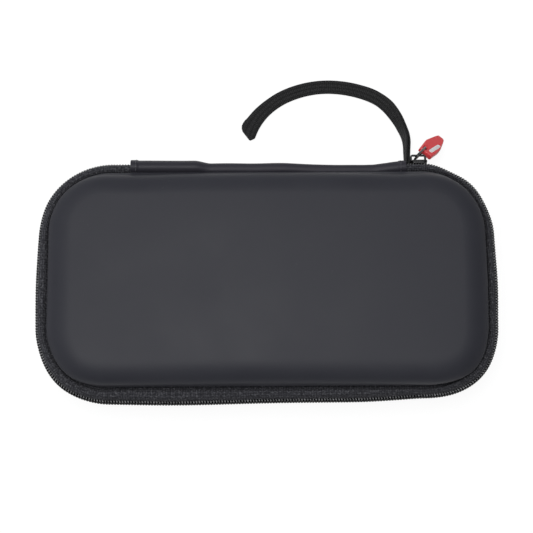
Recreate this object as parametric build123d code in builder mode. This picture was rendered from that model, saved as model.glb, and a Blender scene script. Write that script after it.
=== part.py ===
from build123d import *
import math
import os

# Hard-shell zip case for a handheld games machine, lying flat with its lid up.
# X runs along the case, Y from the front to the hinge, Z up from the resting face. Millimetres.

# Overall form, measured over the zip coils.
case_length = 260.0
case_width = 138.0
corner_radius = 42.0
base_depth = 12.0
lid_depth = 12.0
tape_rise = 10.0
tape_flare = 7.6

# Moulded shells.
shell_wall = 3.0
shell_draft = 3.0
lid_edge = 6.2
lid_edge_soften = 2.4
base_edge = 5.0
base_edge_soften = 1.5
inner_edge = 3.0

# Zip: woven tape, coil and the slot between the two coils.
tape_thickness = 1.2
tape_slope = 3.4
tape_tuck = 2.6
coil_depth = 1.6
coil_height = 2.6
zip_slot = 1.0
lid_run_clearance = 0.3
lid_run_lead = 3.0

# Hinge band at the back, between the two ends of the zip.
band_left_set = 10.8
band_right_set = 8.0
band_thickness = 1.4
band_bend = 6.1
band_hem = 5.0
band_hem_step = 0.3
lining_thickness = 0.8
lining_gap = 0.4
zip_end_gap = 0.2

# Zip slider.
slider_length = 10.0
slider_height = 9.6
slider_plate = 1.1
slider_round = 1.6
slider_clearance = 0.3
slider_post = 0.6
slider_post_length = 2.4
flange_height = 0.8
flange_clearance = 0.4
bridge_width = 2.4
bridge_bar = 0.8
bridge_leg = 1.1
eye_depth = 3.3
eye_length = 7.2

# Pull: wire link and soft tab with a pale bar let into its face.
pull_heading = 50.0
pull_droop = 35.5
link_wire = 1.2
wire_sides = 6
link_width = 5.2
link_bend = 1.5
link_behind = 2.8
link_ahead = 8.2
tab_length = 21.0
tab_near = 8.8
tab_width = 10.6
tab_tip = 4.6
tab_shoulder = 10.0
tab_thickness = 3.4
tab_edge = 0.9
tab_hole = 3.0
tab_hole_set = 2.8
tab_hole_offset = 2.0
inlay_length = 10.0
inlay_width = 2.4
inlay_depth = 0.8
inlay_proud = 0.25
inlay_set = 7.6
inlay_offset = 2.2
inlay_clearance = 0.05

# Binding sewn inside each rim, and the net pocket in the lid.
binding_thickness = 1.2
binding_height = 2.0
binding_gap = 0.3
pocket_set = 23.4
hem_width = 7.0
hem_thickness = 1.2
net_thickness = 0.8
net_inset = 0.5
net_columns = 11
net_rows = 5
net_pitch_x = 19.0
net_pitch_y = 17.0
net_hole = 7.8

# Wrist strap: a loop of webbing lying doubled on the table.
strap_width = 8.0
strap_thickness = 2.6
strap_root_y = 66.0
strap_gap = 0.2
strap_fold = 1.2

# Heights and outlines worked out from the sizes above.
zip_z = base_depth + tape_rise
lid_rim_z = zip_z + tape_rise
case_height = lid_rim_z + lid_depth
rim_length = case_length - 2 * tape_flare
rim_width = case_width - 2 * tape_flare
rim_radius = corner_radius - tape_flare
corner_x = case_length / 2 - corner_radius
rim_back = rim_width / 2
band_left = band_left_set - corner_x
band_right = corner_x - band_right_set
pocket_mouth = pocket_set - rim_back
tape_face = tape_flare - coil_depth
tape_mid = tape_face - tape_thickness / 2
tape_flat = tape_rise - tape_thickness / 2
strap_x = band_right + strap_gap + strap_thickness / 2
zip_start = strap_x + strap_thickness / 2 + strap_gap
zip_stop = band_left - zip_end_gap
lid_run_start = corner_x + slider_length / 2 + lid_run_lead

os.makedirs("parts", exist_ok=True)


def finish(piece, name):
    # Label a finished piece and write it out under its own name.
    piece.part.label = name
    export_step(piece.part, f"parts/{name}.step")


def rim_outline(inset, mode=Mode.ADD):
    # Rounded rectangle of the shell rims, drawn inwards by an inset.
    RectangleRounded(rim_length - 2 * inset, rim_width - 2 * inset, rim_radius - inset, mode=mode)


def zip_run():
    # Open path along the rim: hinge right end, round the front, to the hinge left end.
    right = rim_length / 2
    back = rim_width / 2
    corners = [(zip_start, back), (right, back), (right, -back)]
    corners += [(-right, -back), (-right, back), (zip_stop, back)]
    with BuildLine(Plane.XY.offset(zip_z)) as run:
        FilletPolyline(*corners, radius=rim_radius)
    return run.line


# Section across the zip: sketch x points out of the case, sketch y points up.
section_plane = Plane(origin=(zip_start, rim_back, zip_z), x_dir=(0, 1, 0), z_dir=(1, 0, 0))
section_origin = Plane(origin=(0, rim_back, zip_z), x_dir=(0, 1, 0), z_dir=(1, 0, 0))


def tape_line(side):
    # Tucked under the rim, sloped over the edge, on to the zip line; side is 1 for the lid, -1 for the base.
    tuck = (-tape_tuck, side * tape_flat)
    shoulder = (tape_mid - tape_slope, side * tape_flat)
    knee = (tape_mid, side * (tape_flat - tape_slope))
    end = (tape_mid, side * zip_slot / 2)
    with BuildLine() as line:
        Polyline(tuck, shoulder, knee, end)
    return line.line


def coil_section(side):
    # Plain bar of the coil, standing on the outside of the tape.
    middle = zip_slot / 2 + coil_height / 2
    with Locations((tape_face + coil_depth / 2, side * middle)):
        Rectangle(coil_depth, coil_height)


def hinge_zone(reach):
    # Block over the back of the case between the two ends of the moving lid zip.
    depth = corner_radius
    with Locations((0, rim_back + tape_flare, zip_z)):
        Box(2 * reach, 2 * depth, 4 * tape_rise, mode=Mode.SUBTRACT)


def outside_hinge_zone(reach):
    # Keep only the two short lengths of zip beside the hinge.
    depth = corner_radius
    with Locations((0, rim_back + tape_flare, zip_z)):
        Box(2 * reach, 2 * depth, 4 * tape_rise, mode=Mode.INTERSECT)


# Lid shell: drafted walls, a wide softened bevel round the top, hollow underneath.
with BuildPart() as lid_hollow:
    with BuildSketch(Plane.XY.offset(lid_rim_z)):
        rim_outline(shell_wall)
    extrude(amount=lid_depth - shell_wall)
    chamfer(lid_hollow.faces().sort_by(Axis.Z)[-1].edges(), inner_edge)

with BuildPart() as lid_shell:
    with BuildSketch(Plane.XY.offset(lid_rim_z)):
        rim_outline(0)
    extrude(amount=lid_depth, taper=shell_draft)
    chamfer(lid_shell.faces().sort_by(Axis.Z)[-1].edges(), lid_edge)
    lid_rings = lid_shell.edges().group_by(Axis.Z)
    chamfer(lid_rings[-1] + lid_rings[-3], lid_edge_soften)
    add(lid_hollow.part, mode=Mode.SUBTRACT)
finish(lid_shell, "lid_shell")

# Base shell: flat resting face, softened bevel round the bottom, open on top.
with BuildPart() as base_hollow:
    with BuildSketch(Plane.XY.offset(base_depth)):
        rim_outline(shell_wall)
    extrude(amount=-(base_depth - shell_wall))
    chamfer(base_hollow.faces().sort_by(Axis.Z)[0].edges(), inner_edge)

with BuildPart() as base_shell:
    with BuildSketch(Plane.XY.offset(base_depth)):
        rim_outline(0)
    extrude(amount=-base_depth, taper=shell_draft)
    chamfer(base_shell.faces().sort_by(Axis.Z)[0].edges(), base_edge)
    base_rings = base_shell.edges().group_by(Axis.Z)
    chamfer(base_rings[0] + base_rings[2], base_edge_soften)
    add(base_hollow.part, mode=Mode.SUBTRACT)
finish(base_shell, "base_shell")

# Zip tapes. The lid's tape is cut beside the hinge, where the cloth has to twist as the lid opens.
run = zip_run()

with BuildPart() as base_zip_tape:
    with BuildSketch(section_plane):
        trace(tape_line(-1), tape_thickness)
    sweep(path=run)
finish(base_zip_tape, "base_zip_tape")

with BuildPart() as lid_zip_tape:
    with BuildSketch(section_plane):
        trace(tape_line(1), tape_thickness)
    sweep(path=run)
    hinge_zone(lid_run_start)
finish(lid_zip_tape, "lid_zip_tape")

with BuildPart() as lid_tape_ends:
    with BuildSketch(section_plane):
        trace(tape_line(1), tape_thickness)
    sweep(path=run)
    outside_hinge_zone(lid_run_start - lid_run_clearance)
finish(lid_tape_ends, "lid_tape_ends")

# Zip coils, sewn to the outside of the tapes.
with BuildPart() as base_zip_coil:
    with BuildSketch(section_plane):
        coil_section(-1)
    sweep(path=run)
finish(base_zip_coil, "base_zip_coil")

with BuildPart() as lid_zip_coil:
    with BuildSketch(section_plane):
        coil_section(1)
    sweep(path=run)
    hinge_zone(lid_run_start)
finish(lid_zip_coil, "lid_zip_coil")

with BuildPart() as lid_coil_ends:
    with BuildSketch(section_plane):
        coil_section(1)
    sweep(path=run)
    outside_hinge_zone(lid_run_start - lid_run_clearance)
finish(lid_coil_ends, "lid_coil_ends")

# Hinge band: a strip wrapped round the back from rim to rim, with a thicker hem at each end.
def hinge_strip(reach, thickness, inset, bend):
    # C-shaped strip from the lid rim out to a reach and back under to the base rim.
    flat = tape_rise - thickness / 2 - inset
    corners = [(-tape_tuck, flat), (reach, flat), (reach, -flat), (-tape_tuck, -flat)]
    with BuildLine() as line:
        FilletPolyline(*corners, radius=bend)
    trace(line.line, thickness)


band_reach = tape_flare - band_thickness / 2
lining_reach = band_reach - band_thickness / 2 - lining_gap - lining_thickness / 2

with BuildPart() as hinge_band:
    with BuildSketch(section_origin.offset(band_left)):
        hinge_strip(band_reach, band_thickness, 0, band_bend)
    extrude(amount=band_right - band_left)
    with BuildSketch(section_origin.offset(band_left), section_origin.offset(band_right - band_hem)):
        hinge_strip(band_reach + band_hem_step, band_thickness, 0, band_bend + band_hem_step)
    extrude(amount=band_hem)
finish(hinge_band, "hinge_band")

with BuildPart() as hinge_lining:
    with BuildSketch(section_origin.offset(band_left)):
        lining_inset = band_thickness + lining_gap
        hinge_strip(lining_reach, lining_thickness, lining_inset, band_bend - lining_inset)
    extrude(amount=band_right - band_left)
finish(hinge_lining, "hinge_lining")


# Binding strip inside each rim.
def binding_ring():
    # Flat ring just inside the shell wall.
    rim_outline(shell_wall + binding_gap)
    rim_outline(shell_wall + binding_gap + binding_thickness, Mode.SUBTRACT)


with BuildPart() as lid_binding:
    with BuildSketch(Plane.XY.offset(lid_rim_z)):
        binding_ring()
    extrude(amount=binding_height)
finish(lid_binding, "lid_binding")

with BuildPart() as base_binding:
    with BuildSketch(Plane.XY.offset(base_depth)):
        binding_ring()
    extrude(amount=-binding_height)
finish(base_binding, "base_binding")

# Net pocket inside the lid: the net lies on the binding, its mouth held by an elastic hem.
net_z = lid_rim_z + binding_height
net_edge = shell_wall + binding_gap + net_inset
net_back = rim_back - net_edge
net_middle = (pocket_mouth + net_back) / 2

with BuildPart() as mesh_pocket:
    with BuildSketch(Plane.XY.offset(net_z)):
        rim_outline(net_edge)
        with Locations((0, pocket_mouth)):
            Rectangle(rim_length, rim_width, align=(Align.CENTER, Align.MIN), mode=Mode.INTERSECT)
        with Locations((0, net_middle)):
            with GridLocations(net_pitch_x, net_pitch_y, net_columns, net_rows):
                RegularPolygon(net_hole, 4, mode=Mode.SUBTRACT)
    extrude(amount=net_thickness)
finish(mesh_pocket, "mesh_pocket")

with BuildPart() as pocket_hem:
    with BuildSketch(Plane.XY.offset(net_z)):
        rim_outline(net_edge)
        with Locations((0, pocket_mouth)):
            Rectangle(rim_length, hem_width, align=(Align.CENTER, Align.MAX), mode=Mode.INTERSECT)
    extrude(amount=hem_thickness)
finish(pocket_hem, "pocket_hem")

# Zip slider, straddling both coils at the start of the right back corner.
slider_plane = Plane(origin=(corner_x, rim_back, zip_z), x_dir=(1, 0, 0), z_dir=(0, 1, 0))
coil_sag = (slider_length / 2) ** 2 / (2 * corner_radius)
outer_face = tape_flare + slider_clearance
inner_face = tape_mid - tape_thickness / 2 - coil_sag - slider_clearance
flange_foot = tape_face + flange_clearance
plate_top = outer_face + slider_plate
bridge_top = plate_top + eye_depth + bridge_bar

with BuildPart() as slider_body:
    with BuildSketch(slider_plane.offset(outer_face)):
        RectangleRounded(slider_length, slider_height, slider_round)
    extrude(amount=slider_plate)
    with BuildSketch(slider_plane.offset(inner_face - slider_plate)):
        RectangleRounded(slider_length, slider_height, slider_round)
    extrude(amount=slider_plate)
    with BuildSketch(slider_plane.offset(flange_foot)):
        with Locations((0, slider_height / 2), (0, -slider_height / 2)):
            Rectangle(slider_length - 2 * slider_round, 2 * flange_height)
        Rectangle(slider_length, slider_height, mode=Mode.INTERSECT)
    extrude(amount=outer_face - flange_foot)
    with BuildSketch(slider_plane.offset(inner_face)):
        with Locations((slider_round - slider_length / 2, 0)):
            Rectangle(slider_post_length, slider_post, align=(Align.MIN, Align.CENTER))
    extrude(amount=outer_face - inner_face)
    bridge_plane = Plane(origin=(corner_x, rim_back + plate_top, zip_z), x_dir=(1, 0, 0), z_dir=(0, 0, 1))
    with BuildSketch(bridge_plane):
        arch = eye_length + 2 * bridge_leg
        Rectangle(arch, eye_depth + bridge_bar, align=(Align.CENTER, Align.MIN))
        Rectangle(eye_length, eye_depth, align=(Align.CENTER, Align.MIN), mode=Mode.SUBTRACT)
    extrude(amount=bridge_width / 2, both=True)
    arch_corners = slider_body.edges().filter_by(Axis.Z).group_by(Axis.Y)[-1]
    fillet(arch_corners, bridge_bar)
finish(slider_body, "slider_body")

# Pull link and tab. The link hangs from the bridge and droops towards the table.
heading = math.radians(pull_heading)
droop = math.radians(pull_droop)
pull_level = Vector(math.cos(heading), math.sin(heading), 0)
pull_across = Vector(-math.sin(heading), math.cos(heading), 0)
pull_along = pull_level * math.cos(droop) - Vector(0, 0, 1) * math.sin(droop)
eye_y = rim_back + bridge_top - bridge_bar / 2
eye = Vector(corner_x, eye_y, zip_z)
link_plane = Plane(origin=eye, x_dir=pull_along, z_dir=pull_across)

with BuildPart() as pull_link:
    with BuildLine(link_plane) as link_path:
        back_low = (-link_behind, -link_width / 2)
        back_high = (-link_behind, link_width / 2)
        front_low = (link_ahead, -link_width / 2)
        front_high = (link_ahead, link_width / 2)
        FilletPolyline(back_low, front_low, front_high, back_high, radius=link_bend, close=True)
    with BuildSketch(Plane(origin=link_path.line @ 0, z_dir=link_path.line % 0)):
        RegularPolygon(link_wire / 2, wire_sides)
    sweep(path=link_path.line)
finish(pull_link, "pull_link")

tab_start = link_ahead - tab_hole_set
tab_up = link_plane.y_dir * -1
tab_foot = eye + pull_along * tab_start - pull_across * tab_hole_offset
tab_plane = Plane(origin=tab_foot, x_dir=pull_along, z_dir=tab_up)
inlay_plane = tab_plane.offset(tab_thickness / 2 - inlay_depth)

with BuildPart() as pull_tab:
    with BuildSketch(tab_plane):
        with BuildLine():
            near_side = [(0, -tab_near / 2), (tab_shoulder, -tab_width / 2), (tab_length, -tab_tip / 2)]
            far_side = [(tab_length, tab_tip / 2), (tab_shoulder, tab_width / 2), (0, tab_near / 2)]
            Polyline(*near_side, *far_side, close=True)
        make_face()
    extrude(amount=tab_thickness / 2, both=True)
    tab_faces = pull_tab.faces().sort_by(Axis(tab_plane.origin, tab_up))
    chamfer(tab_faces[0].edges() + tab_faces[-1].edges(), tab_edge)
    with BuildSketch(tab_plane):
        with Locations((tab_hole_set, tab_hole_offset)):
            Circle(tab_hole / 2)
    extrude(amount=tab_thickness, both=True, mode=Mode.SUBTRACT)
    with BuildSketch(inlay_plane):
        with Locations((inlay_set, -inlay_offset)):
            SlotOverall(inlay_length, inlay_width)
    extrude(amount=tab_thickness, mode=Mode.SUBTRACT)
finish(pull_tab, "pull_tab")

with BuildPart() as pull_inlay:
    with BuildSketch(inlay_plane):
        with Locations((inlay_set, -inlay_offset)):
            SlotOverall(inlay_length - 2 * inlay_clearance, inlay_width - 2 * inlay_clearance)
    extrude(amount=inlay_depth + inlay_proud)
finish(pull_inlay, "pull_inlay")

# Wrist strap: it leaves the band on edge, turns flat as it drops, then lies in a loop on the table.
strap_lay = strap_thickness / 2
strap_drop = [
    (Vector(strap_x, strap_root_y, zip_z), Vector(0, 1, 0), 90),
    (Vector(81.8, 75.5, 20.6), Vector(0.06, 0.95, -0.3), 82),
    (Vector(82.9, 87.0, 12.0), Vector(0, 0.76, -0.65), 52),
    (Vector(81.2, 97.0, 4.6), Vector(-0.3, 0.83, -0.47), 20),
    (Vector(77.2, 105.0, strap_lay), Vector(-5.7, 8.0, 0), 0),
]
strap_loop = [(77.2, 105.0), (71.5, 113.0), (62.6, 119.0), (50.3, 122.8), (37.2, 124.2), (24.6, 122.8)]
strap_loop += [(12.6, 118.8), (3.4, 113.2), (-4.0, 105.8), (-8.8, 97.0), (-10.6, 92.0)]


def loop_radii(points):
    # Largest arc that each corner's two runs allow: 0.45 of the shorter run over the half turn's tangent.
    radii = []
    for before, here, after in zip(points, points[1:], points[2:]):
        arriving = Vector(*here) - Vector(*before)
        leaving = Vector(*after) - Vector(*here)
        half_turn = math.radians(arriving.get_angle(leaving)) / 2
        shorter = min(arriving.length, leaving.length)
        radii.append(0.45 * shorter / math.tan(half_turn))
    return radii


def strap_section(place, ahead, twist):
    # Plane across the strap, its x axis along the webbing's width, turned from flat by the twist.
    level = Vector(ahead.Y, -ahead.X, 0).normalized()
    across = level.rotate(Axis((0, 0, 0), ahead), -twist)
    return Plane(origin=place, x_dir=across, z_dir=ahead)


strap_radii = loop_radii(strap_loop)
print("strap bend radii", [round(radius, 1) for radius in strap_radii])

with BuildPart() as wrist_strap:
    for place, ahead, twist in strap_drop:
        with BuildSketch(strap_section(place, ahead, twist)):
            Rectangle(strap_width, strap_thickness)
    loft()
    with BuildLine(Plane.XY.offset(strap_lay)) as loop_path:
        FilletPolyline(*strap_loop, radius=strap_radii)
    with BuildSketch(strap_section(*strap_drop[-1])):
        Rectangle(strap_width, strap_thickness)
    sweep(path=loop_path.line)
    fold = wrist_strap.faces().sort_by_distance(loop_path.line @ 1)[0]
    fillet(fold.edges().sort_by(SortBy.LENGTH)[-2:], strap_fold)
finish(wrist_strap, "wrist_strap")
print("strap volume", round(wrist_strap.part.volume, 1))
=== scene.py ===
import math

import bpy
import numpy as np
from mathutils import Matrix, Vector


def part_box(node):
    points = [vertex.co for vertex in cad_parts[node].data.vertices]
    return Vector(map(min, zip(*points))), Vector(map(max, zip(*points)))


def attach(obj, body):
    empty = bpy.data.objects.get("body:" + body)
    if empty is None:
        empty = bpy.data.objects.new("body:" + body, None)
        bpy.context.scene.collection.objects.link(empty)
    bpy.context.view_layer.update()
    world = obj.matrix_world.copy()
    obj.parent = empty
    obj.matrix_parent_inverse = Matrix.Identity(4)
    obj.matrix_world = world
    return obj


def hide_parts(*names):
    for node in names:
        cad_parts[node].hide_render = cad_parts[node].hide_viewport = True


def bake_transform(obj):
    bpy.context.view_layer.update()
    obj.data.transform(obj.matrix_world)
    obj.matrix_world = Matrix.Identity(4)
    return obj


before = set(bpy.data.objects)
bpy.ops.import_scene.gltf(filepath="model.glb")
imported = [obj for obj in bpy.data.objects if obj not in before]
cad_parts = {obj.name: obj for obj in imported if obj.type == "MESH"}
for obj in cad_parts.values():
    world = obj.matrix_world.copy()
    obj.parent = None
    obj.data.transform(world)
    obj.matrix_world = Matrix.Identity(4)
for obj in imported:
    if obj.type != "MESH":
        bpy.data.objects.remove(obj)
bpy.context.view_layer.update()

millimetre = 0.001  # shapes are worked out in millimetres and written in metres
print("frame loaded:", len(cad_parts), "nodes")


# The case's outline is a rectangle of corner centres with a radius round it; everything runs along it
zipLow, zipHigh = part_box("base_zip_coil")
lidLow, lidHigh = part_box("lid_shell")
baseLow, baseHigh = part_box("base_shell")
caseForm = {
    "cornerRadius": 42.0,  # over the zip coils
    "flare": 7.6,  # the zip stands this far out from the shell rims
}
zipRadius = caseForm["cornerRadius"]
flare = caseForm["flare"]
rimRadius = zipRadius - flare
coreX = zipHigh.x / millimetre - zipRadius
coreY = zipHigh.y / millimetre - zipRadius
baseRim = baseHigh.z / millimetre
lidRim = lidLow.z / millimetre
lidTop = lidHigh.z / millimetre
zipHeight = (baseRim + lidRim) / 2


def smoothStep(x, low, high):
    # 3t^2 - 2t^3 of the share t of the way from low to high
    t = np.clip((np.asarray(x, float) - low) / (high - low), 0, 1)
    return t * t * (3 - 2 * t)


def unit(vectors):
    # each vector divided by its own length
    return vectors / np.linalg.norm(vectors, axis=-1, keepdims=True)


def trackStops(reference):
    # running length at each end of a straight or a corner, clockwise from the middle of the back
    corner = reference * math.pi / 2
    runs = [coreX, corner, 2 * coreY, corner, 2 * coreX, corner, 2 * coreY, corner, coreX]
    return np.concatenate([[0], np.cumsum(runs)])


def trackStations(reference, straightStep, cornerCount):
    # running lengths: even steps on the straights, cornerCount steps on each corner, the last one left off
    stops = trackStops(reference)
    pieces = []
    for index in range(len(stops) - 1):
        run = stops[index + 1] - stops[index]
        count = cornerCount if index % 2 else max(2, int(run / straightStep))
        pieces.append(np.linspace(stops[index], stops[index + 1], count, endpoint=False))
    return np.concatenate(pieces)


def trackAt(s, reference):
    # corner-centre point and outward direction at a running length: both change evenly between stops
    stops = trackStops(reference)
    x = np.interp(s, stops, [0, coreX, coreX, coreX, coreX, -coreX, -coreX, -coreX, -coreX, 0])
    y = np.interp(s, stops, [coreY, coreY, coreY, -coreY, -coreY, -coreY, -coreY, coreY, coreY, coreY])
    turn = np.interp(s, stops, np.radians([90, 90, 0, 0, -90, -90, -180, -180, -270, -270]))
    return np.stack([x, y], -1), np.stack([np.cos(turn), np.sin(turn)], -1)


def carryAlongTrack(s, out, height, reference):
    # profile carried along the outline: corner-centre point plus out times the outward direction, at height
    core, outward = trackAt(s, reference)
    out = np.broadcast_to(out, (len(s), np.shape(out)[-1]))
    height = np.broadcast_to(height, (len(s), np.shape(height)[-1]))
    flat = core[:, None, :] + out[:, :, None] * outward[:, None, :]
    return np.concatenate([flat, height[:, :, None]], -1)


def bellCurves(s, bells):
    # sum of bell curves along the run, each given by its place, its spread and its height
    return sum(far * np.exp(-((s - place) / spread) ** 2) for place, spread, far in bells)


def arcPoints(centre, radius, start, end, count):
    # points on a circle about the centre, from one angle to the other, in degrees
    turn = np.radians(np.linspace(start, end, count))
    return np.stack([centre[0] + radius * np.cos(turn), centre[1] + radius * np.sin(turn)], -1)


def bezierPoints(a, b, c, d, count):
    # cubic curve from a to d, pulled towards b and then c
    t = np.linspace(0, 1, count)[:, None]
    a, b, c, d = (np.array(p, float) for p in (a, b, c, d))
    return (1 - t) ** 3 * a + 3 * t * (1 - t) ** 2 * b + 3 * t * t * (1 - t) * c + t ** 3 * d


def thickLine(line, thickness):
    # closed outline of a strip: the line moved half a thickness each way along its normal, with blunt ends
    line = np.asarray(line, float)
    along = unit(np.gradient(line, axis=0))
    normal = np.stack([along[:, 1], -along[:, 0]], -1) * thickness / 2
    tip = line[-1:] + along[-1:] * thickness * 0.35
    tail = line[:1] - along[:1] * thickness * 0.35
    return np.concatenate([line + normal, tip, (line - normal)[::-1], tail])


def roundBar(width, thickness, edge, steps=3):
    # closed rounded rectangle across a strap: four quarter circles at its corners
    x = width / 2 - edge
    y = thickness / 2 - edge
    places = [((x, y), 0), ((-x, y), 90), ((-x, -y), 180), ((x, -y), 270)]
    return np.concatenate([arcPoints(place, edge, turn, turn + 90, steps) for place, turn in places])


def runLength(points):
    # distance along a row of points
    return np.concatenate([[0], np.cumsum(np.linalg.norm(np.diff(points, axis=0), axis=1))])


def gridSurface(points, closedU=False, closedV=False, caps=None, u=None, v=None, slots=None):
    # quads between neighbours of an n by m grid; caps closes the ends, or the first and last rings to poles
    n, m = points.shape[:2]
    i = np.arange(n if closedU else n - 1)[:, None]
    j = np.arange(m if closedV else m - 1)[None, :]
    spot = lambda a, b: (a % n) * m + (b % m)
    quads = np.stack(np.broadcast_arrays(spot(i, j), spot(i + 1, j), spot(i + 1, j + 1), spot(i, j + 1)), -1)
    groups = [quads.reshape(-1, 4)]
    u = np.arange(n + 1.0) if u is None else np.append(u, 2 * u[-1] - u[-2])
    v = np.arange(m + 1.0) if v is None else np.append(v, 2 * v[-1] - v[-2])
    corners = [(u[a], v[b]) for a, b in ((i, j), (i + 1, j), (i + 1, j + 1), (i, j + 1))]
    uv = [np.stack([np.stack(np.broadcast_arrays(*c), -1) for c in corners], 2).reshape(-1, 4, 2)]
    slot = [np.zeros(i.size * j.size, int) if slots is None else np.tile(slots[: j.size], i.size)]
    flat = points.reshape(-1, 3)
    if caps == "ends":
        ring = np.arange(m)
        groups.append(np.stack([ring[::-1], (n - 1) * m + ring]))
        start = np.stack([np.full(m, u[0]), v[:m][::-1]], -1)
        end = np.stack([np.full(m, u[n - 1]), v[:m]], -1)
        uv.append(np.stack([start, end]))
        slot.append(np.zeros(2, int))
    if caps == "poles":
        ring = np.arange(n)
        first = np.stack([ring * m, (ring + 1) % n * m, np.full(n, n * m)], -1)[:, ::-1]
        last = np.stack([ring * m + m - 1, (ring + 1) % n * m + m - 1, np.full(n, n * m + 1)], -1)
        groups += [first, last]
        uv += [np.zeros((n, 3, 2)), np.zeros((n, 3, 2))]
        ends = [0, 0] if slots is None else [slots[0], slots[m - 2]]
        slot += [np.full(n, ends[0]), np.full(n, ends[1])]
        flat = np.concatenate([flat, points[:, :1].mean(0), points[:, -1:].mean(0)])
    inside = 0.0
    for group in groups:  # the enclosed volume says which way the faces point
        a = flat[group[:, 0]]
        for k in range(1, group.shape[1] - 1):
            inside += np.einsum("ij,ij->", a, np.cross(flat[group[:, k]], flat[group[:, k + 1]]))
    if inside < 0:
        groups = [group[:, ::-1] for group in groups]
        uv = [part[:, ::-1] for part in uv]
    return {"points": flat, "groups": groups, "uv": uv, "slot": slot}


def addPiece(name, surfaces, materials, sharp=40):
    # one mesh object from several surfaces, in metres, with a UV map in metres too
    points, faces, uv, slot, offset = [], [], [], [], 0
    for surface in surfaces:
        points.append(surface["points"])
        for group, part, index in zip(surface["groups"], surface["uv"], surface["slot"]):
            faces += (group + offset).tolist()
            uv.append(part.reshape(-1, 2))
            slot.append(index)
        offset += len(surface["points"])
    mesh = bpy.data.meshes.new(name)
    mesh.from_pydata((np.concatenate(points) * millimetre).tolist(), [], faces)
    layer = mesh.uv_layers.new(name="UVMap")
    layer.data.foreach_set("uv", (np.concatenate(uv) * millimetre).ravel())
    for material in materials:
        mesh.materials.append(material)
    mesh.polygons.foreach_set("material_index", np.concatenate(slot).astype(np.int32))
    mesh.polygons.foreach_set("use_smooth", np.ones(len(faces), bool))
    mesh.set_sharp_from_angle(angle=math.radians(sharp))
    mesh.update()
    piece = bpy.data.objects.new(name, mesh)
    bpy.context.scene.collection.objects.link(piece)
    print("made", name, len(faces), "faces")
    return piece


def tubeAlong(path, radius, sides, closed=False, side=None, widen=1.0):
    # circle carried along a path, square to it; one axis stays near the side direction and is widened
    if closed:
        along = unit(np.roll(path, -1, 0) - np.roll(path, 1, 0))
    else:
        along = unit(np.gradient(path, axis=0))
    first = np.broadcast_to(side, path.shape)
    first = unit(first - along * np.sum(first * along, -1, keepdims=True))
    second = np.cross(along, first)
    turn = np.linspace(0, 2 * math.pi, sides, endpoint=False)
    radius = np.broadcast_to(radius, len(path))[:, None, None]
    first = first * np.broadcast_to(widen, len(path))[:, None]
    ring = first[:, None] * np.cos(turn)[None, :, None] + second[:, None] * np.sin(turn)[None, :, None]
    return path[:, None] + ring * radius


def dress(piece, body, nodes):
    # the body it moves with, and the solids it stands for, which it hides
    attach(piece, body)
    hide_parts(*nodes)


# Shader tools
def addNode(tree, kind, inputs=None, **settings):
    node = tree.nodes.new(kind)
    for key, value in settings.items():
        setattr(node, key, value)
    for key, value in (inputs or {}).items():
        if isinstance(value, bpy.types.NodeSocket):
            tree.links.new(value, node.inputs[key])
        else:
            node.inputs[key].default_value = value
    return node


def calc(tree, operation, a, b=0.0):
    return addNode(tree, "ShaderNodeMath", {0: a, 1: b}, operation=operation).outputs[0]


def ramp(tree, value, low, high, top=1.0):
    # from 0 to top as the value goes from low to high, held at both ends
    limits = {"Value": value, "From Min": low, "From Max": high, "To Max": top}
    return addNode(tree, "ShaderNodeMapRange", limits).outputs["Result"]


def between(tree, share, low, high):
    # number from low to high by a share from 0 to 1
    limits = {"Value": share, "To Min": low, "To Max": high}
    return addNode(tree, "ShaderNodeMapRange", limits).outputs["Result"]


def noise(tree, place, scale, detail=2.0, roughness=0.5):
    inputs = {"Vector": place, "Scale": scale, "Detail": detail, "Roughness": roughness}
    return addNode(tree, "ShaderNodeTexNoise", inputs).outputs["Fac"]


def blendColours(tree, share, low, high):
    node = addNode(tree, "ShaderNodeMix", {"Factor": share}, data_type="RGBA")
    for socket, colour in ((node.inputs[6], low), (node.inputs[7], high)):
        if isinstance(colour, bpy.types.NodeSocket):
            tree.links.new(colour, socket)
        else:
            socket.default_value = (*colour, 1)
    return node.outputs[2]


def newGroup(name, inputs, outputs):
    group = bpy.data.node_groups.new(name, "ShaderNodeTree")
    for label, kind, value in inputs:
        socket = group.interface.new_socket(label, in_out="INPUT", socket_type="NodeSocket" + kind)
        if value is not None:
            socket.default_value = value
    for label in outputs:
        group.interface.new_socket(label, in_out="OUTPUT", socket_type="NodeSocketFloat")
    return group, group.nodes.new("NodeGroupInput").outputs, group.nodes.new("NodeGroupOutput").inputs


def placeGroup(tree, group, **inputs):
    node = tree.nodes.new("ShaderNodeGroup")
    node.node_tree = group
    for key, value in inputs.items():
        if isinstance(value, bpy.types.NodeSocket):
            tree.links.new(value, node.inputs[key])
        else:
            node.inputs[key].default_value = value
    return node.outputs


def makeGrainGroup():
    # pebbled skin: cells with finer noise between, and a slow cloudy tone
    sockets = [("Place", "Vector", None), ("Pebbles", "Float", 1800.0)]
    tree, take, give = newGroup("fineGrain", sockets, ["Height", "Cloud"])
    cells = {"Vector": take["Place"], "Scale": take["Pebbles"]}
    coarse = addNode(tree, "ShaderNodeTexVoronoi", cells, feature="SMOOTH_F1").outputs["Distance"]
    fine = noise(tree, take["Place"], calc(tree, "MULTIPLY", take["Pebbles"], 2.3), 3.0)
    cloud = noise(tree, take["Place"], 26.0, 4.0, 0.6)
    height = calc(tree, "ADD", calc(tree, "MULTIPLY", coarse, 0.8), calc(tree, "MULTIPLY", fine, 0.5))
    tree.links.new(height, give["Height"])
    tree.links.new(between(tree, cloud, -0.6, 1.6), give["Cloud"])
    return tree


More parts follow.
